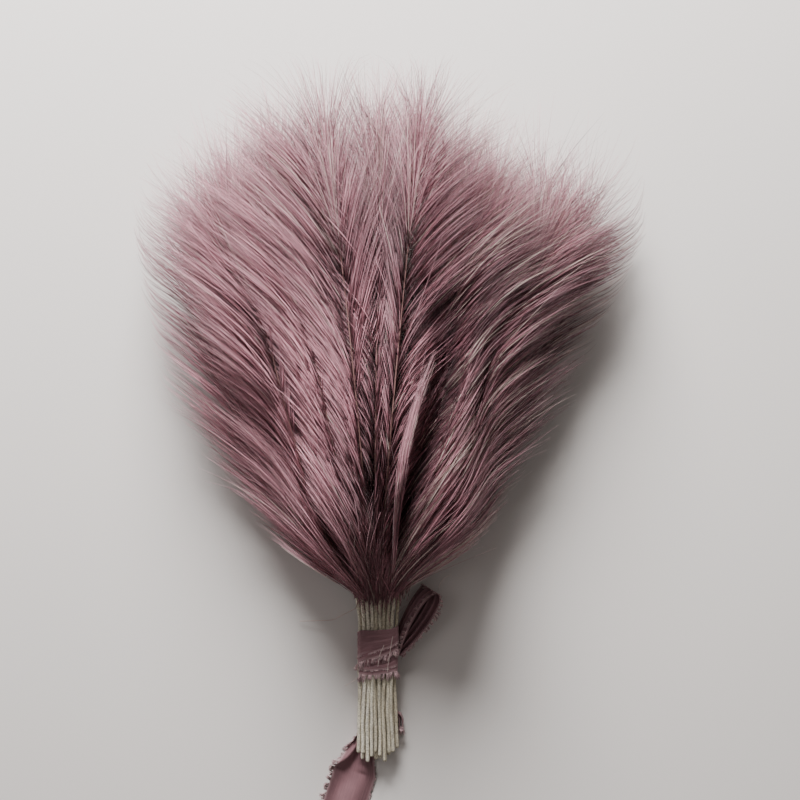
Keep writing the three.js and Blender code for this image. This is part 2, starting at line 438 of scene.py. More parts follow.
def stem_material(settings):
    n = Nodes("Chalky stem", roughness=0.9, specular=0.15)
    coords = n.add("ShaderNodeTexCoord")
    mapping = n.add("ShaderNodeMapping")
    mapping.inputs["Scale"].default_value = (900, 60, 900)
    n.link(coords.outputs["Object"], mapping.inputs["Vector"])
    streaks = n.noise(1.0, 4, mapping.outputs[0])
    patches = n.noise(160.0, 5, coords.outputs["Object"])
    grain = n.noise(1100.0, 3, coords.outputs["Object"])
    colour = n.mix(
        "MIX",
        n.ramp(streaks, [(0.42, grey(0.0)), (0.7, grey(0.8))]),
        tuple(settings.colour),
        tuple(settings.rib_colour),
    )
    colour = n.mix(
        "MIX", n.ramp(patches, [(0.5, grey(0.0)), (0.72, grey(0.55))]), colour, (0.80, 0.77, 0.69)
    )
    colour = n.mix(
        "MULTIPLY", 1.0, colour, n.ramp(grain, [(0.35, grey(0.62)), (0.6, grey(1.1))])
    )
    place = n.add("ShaderNodeUVMap", uv_map=FIBRE_MAP)
    split = n.add("ShaderNodeSeparateXYZ")
    n.link(place.outputs[0], split.inputs[0])
    colour = n.mix(
        "MULTIPLY", 1.0, colour,
        n.ramp(split.outputs[0], [(0.0, (0.80, 0.77, 0.71)), (0.5, grey(1.0)), (1.0, grey(1.12))]),
    )
    n.link(colour, n.shader.inputs["Base Color"])
    n.bump(n.math("ADD", n.math("ADD", streaks, patches), grain), 0.6, 0.0004)
    return n.material


def silk_material(settings):
    n = Nodes("Washed silk", roughness=0.62, sheen=0.25, specular=0.35)
    coords = n.add("ShaderNodeTexCoord")
    place = n.add("ShaderNodeUVMap", uv_map=FIBRE_MAP)
    split = n.add("ShaderNodeSeparateXYZ")
    n.link(place.outputs[0], split.inputs[0])
    across = n.add("ShaderNodeMapping")
    across.inputs["Scale"].default_value = (90, 12, 1)
    n.link(place.outputs[0], across.inputs["Vector"])
    slubs = n.noise(1.0, 4, across.outputs[0])
    cloudy = n.noise(55.0, 4, coords.outputs["Object"])
    colour = n.mix(
        "MIX",
        n.ramp(slubs, [(0.35, grey(0.0)), (0.7, grey(1.0))]),
        tuple(c * 0.88 for c in settings.colour),
        tuple(min(1, c * 1.16) for c in settings.colour),
    )
    colour = n.mix(
        "MULTIPLY", 0.8, colour, n.ramp(cloudy, [(0.3, grey(0.7)), (0.7, grey(1.12))])
    )
    edge = n.math("ABSOLUTE", n.math("SUBTRACT", split.outputs[0], 0.5), 0)
    colour = n.mix(
        "MIX", n.ramp(edge, [(0.42, grey(0.0)), (0.48, grey(0.55))]), colour,
        tuple(settings.thread_colour),
    )
    n.link(colour, n.shader.inputs["Base Color"])
    n.bump(slubs, 0.35, 0.0002)
    return n.material


def floor_material(settings):
    n = Nodes("Pale floor", roughness=0.9, specular=0.1)
    coords = n.add("ShaderNodeTexCoord")
    colour = n.ramp(
        n.noise(3.0, 3, coords.outputs["Object"]),
        [
            (0.3, tuple(c * 0.98 for c in settings.floor_colour)),
            (0.7, tuple(settings.floor_colour)),
        ],
    )
    n.link(colour, n.shader.inputs["Base Color"])
    return n.material


# --- Plumes -------------------------------------------------------------------------------

PLUMES = sorted(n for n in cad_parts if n.startswith("plume_"))
STEMS = sorted(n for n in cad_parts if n.startswith("stem_"))
CENTRE_X = (CAD_BOX[0][0] + CAD_BOX[1][0]) / 2
HALF_WIDTH = (CAD_BOX[1][0] - CAD_BOX[0][0]) / 2
TIP_Y = CAD_BOX[1][1]

# How a plume that shows on top lies: shift is how far its tip is moved to the right (mm), late
# how late its stalk leans outwards, lift how far it stands above its neighbours (mm), shown how
# much of its length shows, right the share of its barbs that go to the right, inner the plan
# angle of the barbs on its inner side (degrees), sweeps how many long low barbs go over its
# neighbours, and reach how long all its barbs are.
Lie = namedtuple("Lie", "shift late lift shown right inner sweeps reach")
TOP_LIE = {
    "plume_19": Lie(-4, 0.75, 3, 0.88, 0.1, 26, 60, 1.0),
    "plume_20": Lie(0, 1.05, 2, 0.90, 0.05, 20, 110, 1.0),
    "plume_21": Lie(5, 1.5, 7, 0.96, 0.34, 25, 170, 1.28),
    "plume_22": Lie(9, 1.4, -1, 0.93, 0.5, 12, 20, 0.9),
    "plume_23": Lie(5, 1.25, 2, 0.90, 0.58, 22, 24, 1.0),
    "plume_24": Lie(9, 0.9, -4, 0.845, 0.9, 24, 60, 1.0),
    "plume_25": Lie(0, 0.82, -7, 0.80, 0.95, 30, 80, 1.0),
    "plume_26": Lie(4, 0.75, -8, 0.88, 0.95, 30, 80, 1.0),
}
LOCK_PLUME = "plume_23"
LOCK_ROUTE = [(2, -45, 33), (5, 0, 55), (9, 35, 70), (17, 66, 80), (29, 98, 86)]
STRAY_PLUME = "plume_09"
STRAY_ROUTE = [(-13, -55, 26), (-20, -68, 18), (-38, -78, 7), (-60, -79, 2)]


def plume_stalk(name):
    """A plume's stalk from its first hairs to its tip, and how far out its tip stands."""
    line = centre_line(name)
    share = (line[-4][0] - CENTRE_X - 5 * MM) / HALF_WIDTH
    reach = (line[:, 1] - line[0, 1]) / (line[-1, 1] - line[0, 1])
    shown = 0.9 if share < 0.15 or share > 0.75 else 0.87
    if name in TOP_LIE:
        lie = TOP_LIE[name]
        shown = lie.shown
        tip = line[-1, 0] + lie.shift * MM
        line[:, 0] = line[0, 0] + (tip - line[0, 0]) * reach**lie.late
        line[:, 2] += lie.lift * MM * smooth(0.1, 0.5, reach)
    else:
        pull = 1 - 0.14 * smooth(0, 0.12, reach) + 0.04 * smooth(0.12, 0.75, reach)
        line[:, 0] = CENTRE_X + (line[:, 0] - CENTRE_X) * pull
    ragged = 3 + int(name[-2:]) * 7 % 5 * 2.6
    below = line[0] - unit(line[1] - line[0]) * ragged * MM
    return along(np.vstack([below, line]), np.linspace(0, shown, 32)), share


def barb_lines(root, start_angle, end_angle, rise, fall, length, steps, quick=0.5):
    """Lines that leave their roots at one plan angle from +Y, and arch over to another."""
    t = np.linspace(0, 1, steps)[None, :]
    angle = start_angle[:, None] + (end_angle - start_angle)[:, None] * t**quick
    slope = rise[:, None] * (1 - t) - fall[:, None] * t**1.3
    step = unit(np.stack([np.sin(angle), np.cos(angle), slope], -1))
    step *= (length / (steps - 1))[:, None, None]
    return root[:, None, :] + np.cumsum(step, 1) - step[:, :1]


def hairs_along(rng, lines, begin, reach, part, rings):
    """A hair along a stretch of each line, which parts from it towards the hair's tip."""
    count, steps, _ = lines.shape
    first = rng.uniform(0, begin, count)
    last = np.minimum(first + rng.uniform(*reach, count), 1.0)
    t = np.linspace(0, 1, rings)[None, :]
    at = (first[:, None] + (last - first)[:, None] * t) * (steps - 1)
    low = np.minimum(at.astype(int), steps - 2)
    mix = (at - low)[..., None]
    row = np.arange(count)[:, None]
    path = lines[row, low] * (1 - mix) + lines[row, low + 1] * mix
    aside = rng.normal(0, 1, (count, 1, 3))
    return path + aside * part[:, None, None] * t[..., None] ** 2.2


def dress(rng, settings, lines, part, shade, pale, begin=0.4, reach=(0.5, 0.85), fine=1.0):
    """A hair on each line, as tubes: shade is its tone with painted light and shade in it, pale
    its chance of being a light one, a painted highlight.
    """
    rings = 6
    path = hairs_along(rng, lines, begin, reach, part, rings)
    count = len(lines)
    t = np.linspace(0, 1, rings)
    stray = (rng.uniform(0, 1, count) < settings.stray_share)[:, None, None]
    path = path + stray * rng.normal(0, 7 * MM, (count, 1, 3)) * (t[None, :, None] ** 2)
    body = np.interp(t, [0, 0.3, 1], [0.75, 1, 0.15])[None]
    fine = np.broadcast_to(fine, count)[:, None]
    radii = settings.fibre_radius * rng.uniform(0.6, 1.4, (count, 1)) * body * fine
    column = np.clip(shade * FIBRE_KINDS, 0, PALE - 4).astype(int)
    # light ones take the pale columns, which are a painted highlight
    light = rng.uniform(0, 1, count) < pale
    column = np.where(light, rng.integers(PALE, FIBRE_KINDS, count), column)
    return tubes(settled(path), radii, column)


def settled(path):
    """Domes the pile, opens its hollow, and keeps it off the table without a hard cut."""
    x = path[..., 0] - CENTRE_X
    y = path[..., 1] - TIP_Y
    z = path[..., 2]
    # just above the tie the pile stands up, towards its middle
    neck = smooth(-340 * MM, -298 * MM, y) * (1 - smooth(-270 * MM, -130 * MM, y))
    neck *= 1 - smooth(0.22, 0.55, np.abs(x) / HALF_WIDTH)
    z = z + 1.35 * neck * np.maximum(z - 14 * MM, 0)
    # the pile is highest a little left of the middle
    ridge = (x / HALF_WIDTH + 0.2) / 1.2
    z = z * (1.06 - 0.42 * np.clip(ridge, -1, 1) ** 2)
    # a hollow runs up from the tie, right of the middle
    climb = smooth(-310 * MM, -180 * MM, y)
    hollow = 3 * MM + 31 * MM * climb
    wide = 5 * MM + 8 * MM * climb
    depth = smooth(-325 * MM, -270 * MM, y) * (1 - smooth(-190 * MM, -120 * MM, y))
    z = z * (1 - 0.42 * depth * np.exp(-(((x - hollow) / wide) ** 2)))
    # hairs lie down on the table, and the highest ones are held back softly
    low, high = 0.5 * MM, CAD_BOX[1][2] - 9 * MM
    z = np.where(z < low, low + 0.03 * np.abs(z - low), z)
    z = np.where(z > high, high + 15 * MM * (1 - np.exp((high - z) / (15 * MM))), z)
    # so are the ones that reach far out to the sides
    edge = HALF_WIDTH + 2 * MM
    over = np.abs(x) - edge
    soft = edge + 14 * MM * (1 - np.exp(-np.maximum(over, 0) / (14 * MM)))
    x = np.where(over > 0, np.sign(x) * soft, x)
    # the fan's sides draw in between the tie and its widest place
    waist = smooth(-330 * MM, -250 * MM, y) * (1 - smooth(-180 * MM, -85 * MM, y))
    x = x * (1 - waist * np.where(x > 0, 0.19, 0.07) * smooth(0.2, 0.6, np.abs(x) / HALF_WIDTH))
    # and the tips past its end are held back as well
    top = y - 6 * MM
    path[..., 0] = CENTRE_X + x
    path[..., 1] = np.where(top > 0, 6 * MM + 17 * MM * (1 - np.exp(-top / (17 * MM))), y)
    path[..., 1] += TIP_Y
    path[..., 2] = z
    return path


def heading(stalk, at):
    """The stalk's plan angle from +Y at shares of its length."""
    ahead = along(stalk, at + 0.02) - along(stalk, at - 0.02)
    return np.arctan2(ahead[:, 0], ahead[:, 1])


def barbs_of(rng, name, stalk, share, settings):
    """The barbs from a plume's base to its tip, hair by hair."""
    top = name in TOP_LIE
    outward = 1 if share > 0 else -1
    barbs = int(settings.barbs * (1.8 if top else 1))
    count = barbs * settings.fibres
    barb = np.repeat(np.arange(barbs), settings.fibres)
    right, inner = 0.5 + 0.25 * np.clip(share * 2, -1, 1), 34
    if top:
        right, inner = TOP_LIE[name].right, TOP_LIE[name].inner

    even = (np.arange(barbs) + rng.uniform(0, 1, barbs)) / barbs
    side = np.where(rng.uniform(0, 1, barbs) < right, 1, -1)
    if top:
        low = 0.45 if abs(share) > 0.2 else (0.22 if name == LOCK_PLUME else 0)
        side = np.where(even < low, outward, side)
    at = np.clip(even[barb] + rng.normal(0, 0.012, count), 0, 0.998)
    side = side[barb]
    out = side == outward
    height = rng.normal(0, 1, count)
    root = along(stalk, at)
    root[:, 0] += rng.normal(0, 0.7 * MM, count)
    root[:, 2] += height * 2.2 * MM
    stalk_angle = heading(stalk, at)
    across = np.abs(root[:, 0] - CENTRE_X) / HALF_WIDTH
    edge = smooth(0.45, 0.75, abs(share))
    wide = 38 + 12 * smooth(0, 0.25, at) + 14 * across
    wide += (8 if share > 0 else 0) * smooth(0.1, 0.5, at) + 14 * edge * (1 - smooth(0, 0.3, at))
    each = rng.normal(0, 1.6, barbs)[barb] + rng.normal(0, 2.6, count)
    wide = np.radians(wide + each)
    least = np.abs(stalk_angle) + np.radians(14)
    narrow = stalk_angle + side * np.radians(inner + each)
    end_angle = np.where(out, side * np.maximum(wide, least), narrow)
    fan = stalk_angle + np.radians(rng.uniform(-44, 44, count))
    end_angle += (fan - end_angle) * smooth(0.86, 0.99, at)
    start_angle = stalk_angle + (end_angle - stalk_angle) * rng.uniform(0.1, 0.25, count)
    root_length = 0.62 + 0.25 * edge
    length = root_length + (1 - root_length) * smooth(0, 0.25, at) - 0.32 * smooth(0.72, 1, at)
    length *= settings.barb_length * (TOP_LIE[name].reach if top else 1)
    length *= rng.uniform(0.8, 1.15, count) * np.where(out, 1, 0.8)
    if top:
        outer_rise = rng.uniform(0.05, 0.3, barbs)[barb]
        inner_rise = rng.uniform(-0.15, 0.1, barbs)[barb]
        rise = np.where(out, outer_rise, inner_rise)
        fall = rng.uniform(0.15, 0.5, barbs)[barb]
    else:
        rise = rng.normal(0.05, 0.35, barbs)[barb]
        fall = rng.normal(0.1, 0.3, barbs)[barb]
    rise = rise + rng.normal(0, 0.05, count)
    lines = barb_lines(root, start_angle, end_angle, rise, fall, length, 14)
    rim = smooth(0.7, 0.95, at)
    # lower layers are darker, as painted shade deep in the pile, and so are the middle plumes, as
    # painted shade in the valley between them
    shade = (0.4 if top else 0.3) - (0.14 if abs(share) < 0.2 else 0) + 0.04 * rim
    # hairs that lie lower are darker and higher ones lighter: painted shade in the depth of the
    # pile; the random spread is the fibres' own tone
    shade = shade + 0.16 * height + rng.normal(0, 0.24, count)
    # lighter near the base, most in the middle: painted light
    shade += (0.26 if abs(share) < 0.3 else 0.16) * (1 - smooth(0.05, 0.25, at))
    # plumes on the left are lighter below their tips: painted light on the left flank, which faces
    # the light
    left = 0.32 if share < -0.45 else 0.2 if share < -0.2 else 0
    shade += left * (1 - smooth(0.5, 0.8, at))
    shade += rng.normal(0, 0.05, barbs)[barb]
    # the middle top plumes darken towards their tips: painted shade in the dark gaps there
    if top and abs(share) < 0.45:
        shade -= 0.2 * smooth(0.45, 0.7, at) * np.where(out, 0.4, 1)
    # plumes right of the middle are darker along their middle: painted shade on the side that
    # falls away from the light
    if share > 0.1:
        shade -= 0.33 * smooth(0.05, 0.25, at) * (1 - smooth(0.7, 0.94, at))
    # some barbs on the right take pale columns: painted highlights, glints on the fibres
    painted_glint_share = 0.45 if share > 0.1 else 0.06
    pale = np.where(rng.uniform(0, 1, barbs) < 0.35, painted_glint_share, 0.01)[barb]
    part = (rng.uniform(0.6, 1.4, count) + 4 * rim) * MM
    return dress(rng, settings, lines, part, shade, pale, fine=1 - 0.4 * rim)


def sweeps_of(rng, name, stalk, share, settings):
    """Long low barbs that sweep outwards over the neighbouring plumes, hair by hair."""
    barbs = TOP_LIE[name].sweeps
    count = barbs * settings.fibres
    barb = np.repeat(np.arange(barbs), settings.fibres)
    outward = 1 if share > 0 else -1
    at = np.clip(rng.uniform(0.0, 0.5, barbs)[barb] + rng.normal(0, 0.01, count), 0, 1)
    height = rng.normal(0, 1, count)
    root = along(stalk, at)
    root[:, 0] += rng.normal(0, 0.8 * MM, count)
    root[:, 2] += height * 2.2 * MM
    angle = rng.uniform(38, 60, barbs)[barb] + rng.normal(0, 2.4, count)
    end_angle = outward * np.radians(angle + (6 if share > 0 else 0))
    length = rng.uniform(85, 140, barbs)[barb] * MM * rng.uniform(0.85, 1.1, count)
    rise = rng.uniform(0.35, 0.6, barbs)[barb] * (1 - at) + rng.normal(0, 0.04, count)
    fall = rng.uniform(0.1, 0.3, barbs)[barb]
    start = heading(stalk, at) + outward * 0.06
    lines = barb_lines(root, start, end_angle, rise, fall, length, 20, 0.8)
    # sweeps on the left are lighter: painted light on the left flank
    shade = 0.7 if share < -0.45 else 0.5 if share < -0.2 else 0.32
    # hairs that lie lower are darker and higher ones lighter: painted shade in the depth of the
    # pile; the random spread is the fibres' own tone
    shade = shade + 0.16 * height + rng.normal(0, 0.22, count) + rng.normal(0, 0.05, barbs)[barb]
    # some sweeps on the right take pale columns: painted highlights, glints on the fibres
    painted_glint_share = 0.45 if share > 0.1 else 0.06
    pale = np.where(rng.uniform(0, 1, barbs) < 0.4, painted_glint_share, 0.01)[barb]
    part = rng.uniform(0.6, 1.5, count) * MM
    return dress(rng, settings, lines, part, shade, pale, 0.5, (0.4, 0.7))


def wisps_of(rng, name, stalk, settings):
    """Thin pale hairs that stand out past the tip, and the short fuzz round the first hairs."""
    rings = 6
    wisps = 170 if name in TOP_LIE else 60
    at = rng.uniform(0.75, 1, wisps)
    angle = heading(stalk, np.full(1, 0.97)) + rng.normal(0, 0.36, wisps)
    rise = rng.normal(0.1, 0.14, wisps)
    long = rng.uniform(42, 80, wisps) * MM
    path = barb_lines(along(stalk, at), angle, angle * 1.06, rise, rise * 0.5, long, rings)
    thin = settings.fibre_radius * 0.55 * np.linspace(1, 0.4, rings)[None] * np.ones((wisps, 1))
    parts = [tubes(settled(path), thin, rng.integers(40, FIBRE_KINDS, wisps))]

    if name in TOP_LIE:
        first = 80
        root = along(stalk, rng.uniform(0, 0.06, first)) + rng.normal(0, 1.0 * MM, (first, 3))
        angle = heading(stalk, np.full(1, 0.1)) + rng.normal(0, 0.2, first)
        rise = rng.uniform(0.3, 0.6, first)
        long = rng.uniform(35, 85, first) * MM
        path = barb_lines(root, angle * 0.6, angle * 1.2, rise, rise * 0.3, long, rings)
        thin = settings.fibre_radius * 0.8 * np.linspace(1, 0.3, rings)[None] * np.ones((first, 1))
        parts.append(tubes(settled(path), thin, rng.integers(20, PALE, first)))

    fuzz = 70
    root = along(stalk, rng.uniform(0, 0.04, fuzz))
    root[:, 1] -= rng.gamma(1.3, 2.2, fuzz) * MM
    root += rng.normal(0, 0.8 * MM, (fuzz, 3))
    angle = rng.normal(0, 0.42, fuzz)
    rise = rng.normal(0.2, 0.3, fuzz)
    long = rng.gamma(1.6, 8, fuzz) * MM + 3 * MM
    path = barb_lines(root, angle * 0.3, angle, rise, rise, long, rings)
    thin = settings.fibre_radius * 0.9 * np.linspace(1, 0.3, rings)[None] * np.ones((fuzz, 1))
    parts.append(tubes(settled(path), thin, rng.integers(12, FIBRE_KINDS, fuzz)))
    return parts


def plume_fibres(rng, name, settings):
    stalk, share = plume_stalk(name)
    parts = [barbs_of(rng, name, stalk, share, settings)]
    if name in TOP_LIE:
        parts.append(sweeps_of(rng, name, stalk, share, settings))
    parts += wisps_of(rng, name, stalk, settings)

    at = np.linspace(0, 1, 40)
    core = along(stalk, at)[None].copy()
    bare = 0.3 if name in ("plume_21", "plume_23") else 0.7
    core[..., 2] -= 4 * MM * (1 - smooth(bare, bare + 0.3, at))
    thick = np.linspace(0.7, 0.25, 40)[None] * MM
    parts.append(tubes(settled(core), thick, np.full(1, 20), sides=7, material=1))
    if name == LOCK_PLUME:
        parts.append(lock(rng, settings))
    if name == STRAY_PLUME:
        route = along(np.array(STRAY_ROUTE) * MM, np.linspace(0, 1, 24))[None]
        parts.append(tubes(route, np.full((1, 24), 0.24 * MM), np.full(1, PALE + 2)))
    return parts


def lock(rng, settings):
    """A flat lock of combed hairs that stands along the left of the hollow."""
    count = 150
    route = along(np.array(LOCK_ROUTE) * MM, np.linspace(0, 1, 20))
    ahead = unit(np.gradient(route, axis=0))
    aside = unit(np.cross(ahead, [0, 0, 1.0]))
    spread = np.interp(np.arange(20), [0, 9, 19], [0.8, 2.8, 1.6])[None, :, None]
    place = rng.uniform(-1, 1, count)[:, None, None] * spread
    deep = rng.uniform(-1, 1, count)[:, None, None] * np.array([0, 0, 1.8])
    lines = route[None] + (place * aside[None] + deep) * MM
    part = np.full(count, 1.1) * MM
    shade = rng.normal(0.42, 0.22, count)
    return dress(rng, settings, lines, part, shade, np.full(count, 0.05), 0.5, (0.35, 0.6))


def make_plumes(settings):
    fluff = fibre_material(
        "Dyed plume fibre",
        tuple(settings.root_colour_and_shade),
        tuple(settings.body_colour),
        tuple(settings.tip_colour),
        0.5,
        0.1,
    )
    stalk = fibre_material(
        "Plume stalk", (0.60, 0.50, 0.38), (0.26, 0.14, 0.13), (0.20, 0.10, 0.10), 0.8, 0.0
    )
    for i, name in enumerate(PLUMES):
        rng = np.random.default_rng(1000 + i)
        parts = plume_fibres(rng, name, settings)
        ob = joined(f"fluff_{name[-2:]}", parts, [fluff, stalk])
        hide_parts(name)


# --- Stems --------------------------------------------------------------------------------


def make_stems(settings):
    chalk = stem_material(settings)
    for i, name in enumerate(STEMS):
        rng = np.random.default_rng(2000 + i)
        line = centre_line(name, 14)
        rings = 130
        path = along(line, np.linspace(rng.uniform(0, 0.045), 1, rings))
        sway = along(rng.normal(0, 0.5 * MM, (7, 3)) * [1, 0, 1], np.linspace(0, 1, rings))
        path = path + sway * np.sin(np.linspace(0.35, math.pi, rings))[:, None]
        marks = np.arange(0, rings, 3)
        bumps = np.interp(np.arange(rings), marks, rng.uniform(-1, 0.6, len(marks)))
        radius = 1.25 * MM * rng.uniform(0.9, 1.1) + settings.roughness_height * bumps
        radius[0] *= 0.82
        radius[-1] *= 0.8
        part = tubes(path[None], radius[None], rng.integers(0, FIBRE_KINDS, 1), sides=12)
        wobble = rng.normal(0, 1, len(part["verts"])) * settings.roughness_height * 0.4
        middle = np.repeat(path, 12, 0)
        out = unit(part["verts"] - middle)
        part["verts"] = part["verts"] + out * np.minimum(wobble, 0)[:, None]
        ob = joined(f"stalk_{name[-2:]}", [part], [chalk])
        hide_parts(name)


# --- Ribbon -------------------------------------------------------------------------------


def fringe(rng, points, outward, down, count, length, settings, tufts=0):
    """Loose thread ends along an edge, in tufts if the edge is torn that way."""
    at = rng.uniform(0, len(points) - 1.001, count)
    lean = rng.normal(0, 0.35, (count, 3))
    size = length * rng.gamma(2.0, 0.5, count)
    if tufts:
        step = (len(points) - 1) / tufts
        tuft = rng.integers(0, tufts, count)
        centre = (np.arange(tufts) + rng.uniform(0.2, 0.8, tufts)) * step
        at = np.clip(centre[tuft] + rng.normal(0, 0.17 * step, count), 0, len(points) - 1.001)
        lean = rng.normal(0, 0.22, (tufts, 3))[tuft] + rng.normal(0, 0.1, (count, 3))
        size = length * rng.uniform(0.6, 1.3, tufts)[tuft] * rng.uniform(0.8, 1.1, count)
    low = at.astype(int)
    mix = (at - low)[:, None]
    root = points[low] * (1 - mix) + points[low + 1] * mix
    way = unit(outward[low] * (1 - mix) + outward[low + 1] * mix + lean)
    bend = unit(rng.normal(0, 1, (count, 3)) + np.array(down))
    curl = 0.2 if tufts else 0.45
    t = np.linspace(0, 1, 5)[None, :, None]
    course = way[:, None, :] * t + bend[:, None, :] * curl * t**2
    path = root[:, None, :] + size[:, None, None] * course
    path[..., 2] = np.maximum(path[..., 2], 0.3 * MM)
    radii = settings.thread_radius * np.linspace(1, 0.6, 5)[None] * np.ones((count, 1))
    return tubes(path, radii, rng.integers(0, FIBRE_KINDS, count))


def loose_thread(route, settings):
    """One long thread that has come away from the weave."""
    path = along(np.array(route) * MM, np.linspace(0, 1, 16))[None]
    return tubes(path, np.full((1, 16), settings.thread_radius * 1.3), np.full(1, PALE))


def ribbon_piece(name, node, sheets, frays, silk, threads):
    """A stretch of the ribbon with its frayed threads as a piece of their own."""
    cloth_piece = joined(name, sheets, [silk])
    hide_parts(node)
    fray = joined(f"{name}_fray", frays, [threads])


def pleats(full, shown, folds):
    """How high folds stand, when cloth as wide as full is gathered to the width shown."""
    return shown / (2 * math.pi * folds) * np.sqrt(2 * np.maximum((full / shown) ** 2 - 1, 0))


def round_stems(angle, half):
    """A point on the rounded oval round the stems at each angle, as x and z offsets."""
    c, s = np.cos(angle), np.sin(angle)
    power = 2 / 3.2
    return (
        half[0] * np.sign(c) * np.abs(c) ** power,
        half[1] * np.sign(s) * np.abs(s) ** power,
    )


def ridged(angle):
    """Rounded swells with a sharp crease between each two, from 0 in a crease to 1."""
    return np.sqrt(np.abs(np.sin(angle)))


def make_wraps(settings, silk, threads):
    """Two turns of the ribbon, folded double, with both torn edges on their lower side."""
    low, high = (np.array(c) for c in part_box("ribbon_band"))
    centre = (low + high) / 2
    half = (high - low) / 2
    rng = np.random.default_rng(31)
    slope = 0.08
    turns = [
        # middle, width and tilt of a turn, how far out it lies, and how far its fold hangs below
        (centre[1] - 5.6 * MM, 12.5 * MM, 0.1, -0.1, 3.2),
        (centre[1] + 7.4 * MM, 14.0 * MM, 0.36, 1.3, 4.2),
    ]
    sheets, frays = [], []
    rows, cols = 240, 64
    a = np.linspace(-0.6, 2 * math.pi - 0.5, rows)[:, None] * np.ones(cols)
    v = np.ones(rows)[:, None] * np.linspace(0, 1, cols)
    fold = 0.5 - np.abs(2 * v - 1)
    under = smooth(0.5, 0.6, v)
    x, z = round_stems(a, (half[0] - 1.2 * MM, half[2] - 1.6 * MM))
    for k, (y0, wide, tilt, lift, hang) in enumerate(turns):
        shape = fold * 7 + a * 1.1 + 1.3 * k
        crease = 0.55 * ridged(shape) + 0.35 * ridged(fold * 13 + a * 1.9 + 0.8 * np.sin(2 * a))
        crease += 0.2 * ridged(fold * 24 + a * 3.1 + 2.0)
        stand = (0.5 + lift + 1.25 * crease - 0.4 - 0.55 * under) * MM
        side = 1 - smooth(-0.5, 0.1, fold)
        y = y0 + fold * wide + tilt * x * (0.35 + 0.65 * side) + 0.7 * MM * np.sin(3 * a + k)
        y = y - hang * MM * under * side
        out = 1 + stand / half[2]
        grid = np.stack(
            [
                centre[0] + x * (1 + 0.35 * stand / half[0]),
                y,
                centre[2] + slope * (y - centre[1]) + z * out,
            ],
            -1,
        )
        sheets.append(cloth(grid, 0.2 * MM))
        for edge, length in ((0, 0.9), (-1, 4.0)):
            line = grid[:, edge]
            outward = np.zeros_like(line)
            outward[:, 1] = -1
            frays.append(
                fringe(rng, line, outward, (0, 0, -0.2), 1500, length * MM, settings, tufts=42)
            )
    top = high[2] + 1.2 * MM
    cx, cy = centre[0] / MM, centre[1] / MM
    up = top / MM
    for route in (
        [
            (cx + 11, cy + 16, up - 4),
            (cx + 9, cy + 6, up + 0.5),
            (cx + 7, cy - 6, up),
            (cx + 6, cy - 15, up),
        ],
        [(cx + 4, cy + 4, up), (cx + 1, cy - 3, up + 0.6), (cx, cy - 10, up)],
        [(cx - 10, cy - 16, up - 5), (cx - 15, cy - 20, up - 12), (cx - 22, cy - 25, 1)],
    ):
        frays.append(loose_thread(route, settings))
    ribbon_piece(
        "ribbon_wraps", "ribbon_band", sheets, frays, silk, threads,
    )


def strip(route, wide, full, folds, samples, cols):
    """A strip of cloth along a route, gathered into folds from its full width to the one shown."""
    t = np.linspace(0, 1, samples)
    line = along(route, t)
    tangent = unit(np.gradient(line, axis=0))
    side = unit(np.cross(tangent, [0, 0, 1]))
    up = np.cross(side, tangent)
    w = np.linspace(-0.5, 0.5, cols)[None]
    shown = np.interp(t, *wide)[:, None]
    folds = np.interp(shown, [0.3 * full, 0.95 * full], [folds, 1.2])
    fold = pleats(full, np.minimum(shown, full), folds)
    wave = 0.5 + 0.5 * np.cos(w * 2 * math.pi * folds + 1.5 + 1.2 * np.sin(t[:, None] * 6))
    return (
        line[:, None, :]
        + side[:, None, :] * (w * shown)[..., None]
        + up[:, None, :] * (2 * fold * wave)[..., None]
    )


def edge_frays(rng, grid, count, length, settings, tufts=0, other_side=1.0):
    """Frays on both edges of a strip: other_side is how long they are on its second edge."""
    frays = []
    for edge, other, part in ((-1, -2, 1.0), (0, 1, other_side)):
        line = grid[:, edge]
        outward = unit(line - grid[:, other])
        frays.append(fringe(rng, line, outward, (0, 0, 0), count, length * part, settings, tufts))
    return frays


def make_tail(settings, silk, threads, node, name, wide, folds, seed, aside, lie, length):
    co = node_points(node)
    low, high = co.min(0), co.max(0)
    route = []
    for y in np.linspace(high[1], low[1], 14):
        near = co[np.abs(co[:, 1] - y) < (high[1] - low[1]) * 0.09]
        route.append([(near[:, 0].min() + near[:, 0].max()) / 2 + aside, y, lie])
    rng = np.random.default_rng(seed)
    samples = 220
    grid = strip(np.array(route), wide, settings.width * 0.98, folds, samples, 48)
    grid[..., 2] += 0.7 * MM * (1 + np.sin(np.linspace(0, 9, samples)))[:, None]
    grid[..., 2] = np.maximum(grid[..., 2], 0.35 * MM)
    frays = edge_frays(
        rng, grid, int(length * 16000), 3.0 * MM, settings, int(length * 480), other_side=0.35
    )
    outward = unit(grid[-1] - grid[-3])
    frays.append(fringe(rng, grid[-1], outward, (0, 0, 0), 320, 4.0 * MM, settings, 16))
    ribbon_piece(
        name, node, [cloth(grid, 0.2 * MM)], frays, silk, threads,
    )


